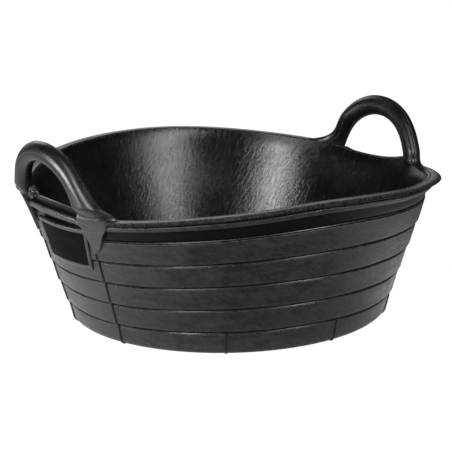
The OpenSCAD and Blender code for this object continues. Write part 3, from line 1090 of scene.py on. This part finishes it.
def studio_paint():
    """Matt studio floor paint: white to the camera, and in the tub's reflections a painted glow, dark close
    by as painted shadow, then pale.
    """
    paint = bpy.data.materials.new("Matt studio floor paint")
    tree = bare_tree(paint)
    path = add(tree, "LightPath").outputs
    place = add(tree, "TexCoord").outputs["Object"]
    near = measure(tree, "DISTANCE", place, around(0.32, 0.46))
    behind = measure(tree, "DOT_PRODUCT", place, around(pi / 2, 0.5) + around(pi, 0.87))
    # Glow seen only in reflections: a painted shadow of the tub close by, pale beyond, dimmer far off and
    # behind.
    pale = remap(tree, near, (0.18, 0.54), (0.04, 0.9), interpolation_type="SMOOTHSTEP")
    far = remap(tree, near, (0.6, 1.1), (1.0, 0.35))
    dim = remap(tree, behind, (0.1, 0.36), (1.0, 0.15))
    painted_glow = compute(tree, "MULTIPLY", compute(tree, "MULTIPLY", pale, far), dim)
    mirrored = compute(tree, "MAXIMUM", path["Is Glossy Ray"], path["Is Transmission Ray"])
    shown = remap(tree, near, (0.8, 2.0), (0.93, 1.0))
    seen = compute(tree, "MULTIPLY", path["Is Camera Ray"], shown)
    strength = compute(tree, "MULTIPLY_ADD", mirrored, painted_glow, seen)
    matt = add(tree, "BsdfDiffuse", {"Color": (*bpy.context.scene.tub_finish.floor, 1)})
    glow = add(tree, "Emission", {"Color": WHITE}, {"Strength": strength})
    lit = add(tree, "AddShader", None, {0: matt.outputs[0], 1: glow.outputs[0]})
    add(tree, "OutputMaterial", None, {"Surface": lit.outputs[0]})
    return paint


def studio_world():
    """White studio: white to the camera, and in the tub's reflections bright only low down behind it."""
    world = bpy.data.worlds.new("White studio")
    tree = bare_tree(world)
    path = add(tree, "LightPath").outputs
    away = add(tree, "TexCoord").outputs["Generated"]
    sideways = measure(tree, "DOT_PRODUCT", away, around(pi / 2, 1))
    straight = measure(tree, "DOT_PRODUCT", away, around(pi, 1))
    heading = compute(tree, "ARCTAN2", sideways, straight)
    from_left = remap(tree, heading, (-0.85, -0.5), (0.05, 0.9))
    to_right = remap(tree, heading, (0.04, 0.2), (1.0, 0.06))
    height = add(tree, "SeparateXYZ", None, {0: away}).outputs["Z"]
    below = remap(tree, height, (0.27, 0.46), (1.0, 0.08))
    backdrop = compute(tree, "MULTIPLY", compute(tree, "MULTIPLY", from_left, to_right), below)
    strength = compute(tree, "MAXIMUM", backdrop, path["Is Camera Ray"])
    surround = add(tree, "Background", {"Color": WHITE}, {"Strength": strength})
    add(tree, "OutputWorld", None, {"Surface": surround.outputs[0]})
    return world


class TUB_OT_stage(bpy.types.Operator):
    """Sets up the pale floor, the white surround, the lamps and the camera"""

    bl_idname = "tub.stage"
    bl_label = "Studio Stage"

    def execute(self, context):
        scene = context.scene
        scene.view_settings.view_transform = "Standard"
        bpy.ops.object.select_all(action="DESELECT")
        bpy.ops.object.camera_add(
            location=around(0, CAMERA_AWAY, CAMERA_UP),
            rotation=(radians(90 - CAMERA_TILT), 0, FACING + radians(CAMERA_PAN)),
        )
        camera = context.object
        camera.name = "photo_camera"
        camera.data.sensor_width = SENSOR
        camera.data.lens = SENSOR * FOCAL_PX / WIDTH_PX
        camera.data.clip_end = 50
        scene.camera = camera

        bpy.ops.mesh.primitive_plane_add(size=14, location=(0, 0, -0.0002))
        floor = context.object
        floor.name = "studio_floor"
        floor.data.materials.append(studio_paint())
        scene.world = studio_world()

        for name, turn, distance, height, wide, tall, power in LAMPS:
            spot = around(radians(turn), distance, height)
            facing = (LAMP_AIM - spot).to_track_quat("-Z", "Y").to_euler()
            bpy.ops.object.light_add(type="AREA", location=spot, rotation=facing)
            lamp = context.object
            lamp.name = name
            lamp.data.shape = "RECTANGLE"
            lamp.data.size = wide
            lamp.data.size_y = tall
            lamp.data.energy = power
        return {"FINISHED"}


class TUB_PT_panel(bpy.types.Panel):
    """Lists the pieces of the tub"""

    bl_idname = "TUB_PT_panel"
    bl_label = "Feed Tub"
    bl_space_type = "VIEW_3D"
    bl_region_type = "UI"
    bl_category = "Feed Tub"

    def draw(self, context):
        for operator in OPERATORS:
            self.layout.operator(operator.bl_idname)
        for group in (context.scene.tub_sizes, context.scene.tub_finish):
            box = self.layout.box()
            for key in group.__annotations__:
                box.prop(group, key)


OPERATORS = (
    TUB_OT_stage, TUB_OT_floor_finish, TUB_OT_wall_liner, TUB_OT_lap_bands, TUB_OT_rim,
    TUB_OT_handles, TUB_OT_gussets, TUB_OT_badge, TUB_OT_parting_ridges,
)
CLASSES = (TubSizes, TubFinish, *OPERATORS, TUB_PT_panel)


def register():
    for item in CLASSES:
        bpy.utils.register_class(item)
    bpy.types.Scene.tub_sizes = PointerProperty(type=TubSizes)
    bpy.types.Scene.tub_finish = PointerProperty(type=TubFinish)


def unregister():
    del bpy.types.Scene.tub_finish
    del bpy.types.Scene.tub_sizes
    for item in reversed(CLASSES):
        bpy.utils.unregister_class(item)


def main():
    register()
    bpy.ops.tub.stage()
    bpy.ops.tub.floor_finish()
    bpy.ops.tub.wall_liner()
    bpy.ops.tub.lap_bands()
    bpy.ops.tub.rim()
    bpy.ops.tub.handles()
    bpy.ops.tub.gussets()
    bpy.ops.tub.badge()
    bpy.ops.tub.parting_ridges()
    bpy.context.view_layer.update()


if __name__ == "__main__":
    main()
